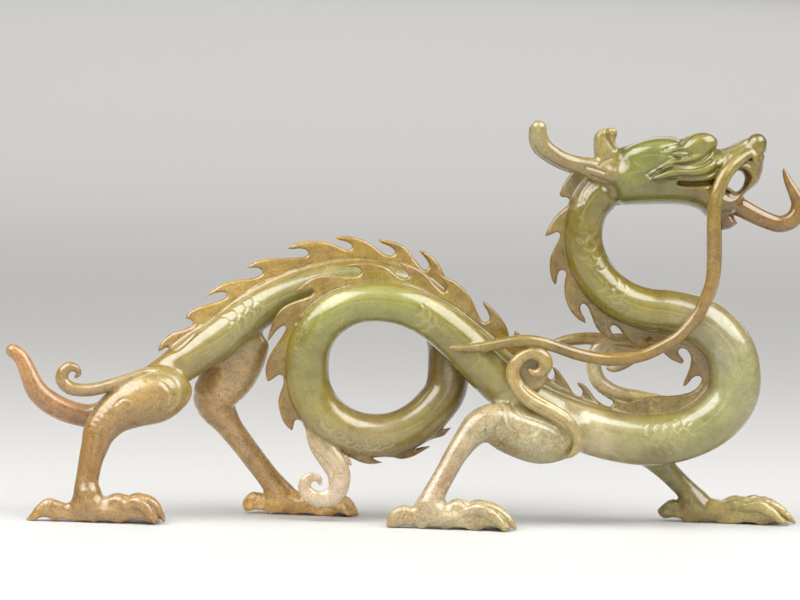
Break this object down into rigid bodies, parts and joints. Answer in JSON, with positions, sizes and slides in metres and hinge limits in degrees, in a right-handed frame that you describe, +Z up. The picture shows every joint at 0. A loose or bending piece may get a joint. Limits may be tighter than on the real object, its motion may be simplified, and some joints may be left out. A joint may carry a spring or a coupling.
{
  "type": "carved jade dragon figurine",
  "caption": "Carved jade table figurine of a walking dragon whose body makes one full loop, standing on four clawed feet, with long trailing whiskers.",
  "frame": {"origin": "Middle of the footprint, on the surface the four feet stand on.", "axes": "+X is the way the dragon walks and looks, +Y is its left, +Z is up."},
  "size_m": [0.2655, 0.0555, 0.1352],
  "materials": {
    "green_jade": "waxy polish",
    "honey_jade": "waxy polish",
    "russet_jade": "waxy polish, speckled brown rind"
  },
  "bodies": {
    "root": {"skull": "green_jade", "lower_jaw": "green_jade", "beard_curl": "honey_jade", "antler_right": "honey_jade", "antler_left": "honey_jade", "ear_right": "honey_jade", "ear_left": "honey_jade", "chin_tuft": "honey_jade", "whisker_right": "honey_jade", "whisker_left": "honey_jade", "neck": "green_jade", "breast": "green_jade", "forebody": "green_jade", "loop_coil": "green_jade", "hindbody": "green_jade", "tail": "russet_jade", "neck_crest": "russet_jade", "breast_crest": "russet_jade", "loop_crest": "russet_jade", "back_crest": "russet_jade", "foreleg_right": "russet_jade", "foreleg_left": "russet_jade", "hindleg_right": "russet_jade", "hindleg_left": "russet_jade", "forefoot_right": "russet_jade", "forefoot_left": "russet_jade", "hindfoot_right": "russet_jade", "hindfoot_left": "russet_jade", "shoulder_scroll_right": "honey_jade", "shoulder_scroll_left": "honey_jade", "hip_scroll": "honey_jade", "belly_scroll": "honey_jade"}
  },
  "joints": []
}
